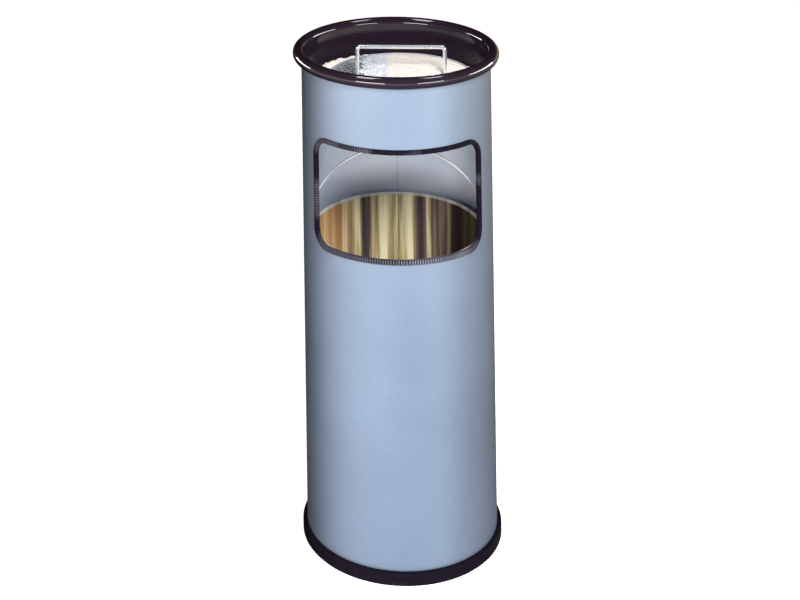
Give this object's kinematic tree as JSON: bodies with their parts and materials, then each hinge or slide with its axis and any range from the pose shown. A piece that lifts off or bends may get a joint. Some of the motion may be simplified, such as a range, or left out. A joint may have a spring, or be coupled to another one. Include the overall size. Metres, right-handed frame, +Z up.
{
  "type": "litter bin",
  "caption": "Tall round steel litter bin with a rubber-edged window, a lift-out bucket with a bail, and an ash bowl of sand with a lift-out sieve.",
  "frame": {"origin": "centre of the base, on the ground", "axes": "+Z up along the bin's axis; the window faces -Y; +X is to the right of someone facing the window"},
  "size_m": [0.267, 0.267, 0.624],
  "materials": {
    "body_paint": "satin metallic powder coat, silver blue",
    "trim_rubber": "black edge trim with fine cross ribs",
    "base_plastic": "matte black moulding",
    "galvanised_plate": "plain galvanised sheet",
    "zinc_screws": "bright zinc",
    "bucket_steel": "bright rolled sheet, brushed upright",
    "bail_chrome": "bright drawn wire",
    "bowl_enamel": "glossy black",
    "sand": "fine pale dry sand",
    "sieve_steel": "bright expanded mesh",
    "handle_chrome": "bright round bar"
  },
  "bodies": {
    "body": {"body_shell": "body_paint", "window_trim": "trim_rubber", "base_ring": "base_plastic", "base_plate": "galvanised_plate", "base_screws": "zinc_screws"},
    "bucket": {"bucket_shell": "bucket_steel", "bucket_floor": "bucket_steel", "bucket_rim_wire": "bucket_steel", "bail_ear_right": "bucket_steel", "bail_ear_left": "bucket_steel", "bail_rivets": "bucket_steel"},
    "bail": {"bail": "bail_chrome"},
    "ash_bowl": {"ash_bowl": "bowl_enamel", "sand_bed": "sand"},
    "sieve": {"sieve_mesh": "sieve_steel", "sieve_rim": "sieve_steel", "sieve_handle": "handle_chrome", "sand_heap": "sand"}
  },
  "joints": [
    {"name": "bucket_lift", "type": "slide", "parent": "body", "child": "bucket", "axis": [0, 0, 1], "range_m": [0, 0.64]},
    {"name": "bail_swing", "type": "hinge", "parent": "bucket", "child": "bail", "pos_m": [0, 0, 0.3858], "axis": [1, 0, 0], "range_deg": [-110, 91]},
    {"name": "bowl_lift", "type": "slide", "parent": "bucket", "child": "ash_bowl", "axis": [0, 0, 1], "range_m": [0, 0.12]},
    {"name": "sieve_lift", "type": "slide", "parent": "ash_bowl", "child": "sieve", "axis": [0, 0, 1], "range_m": [0, 0.08]}
  ]
}
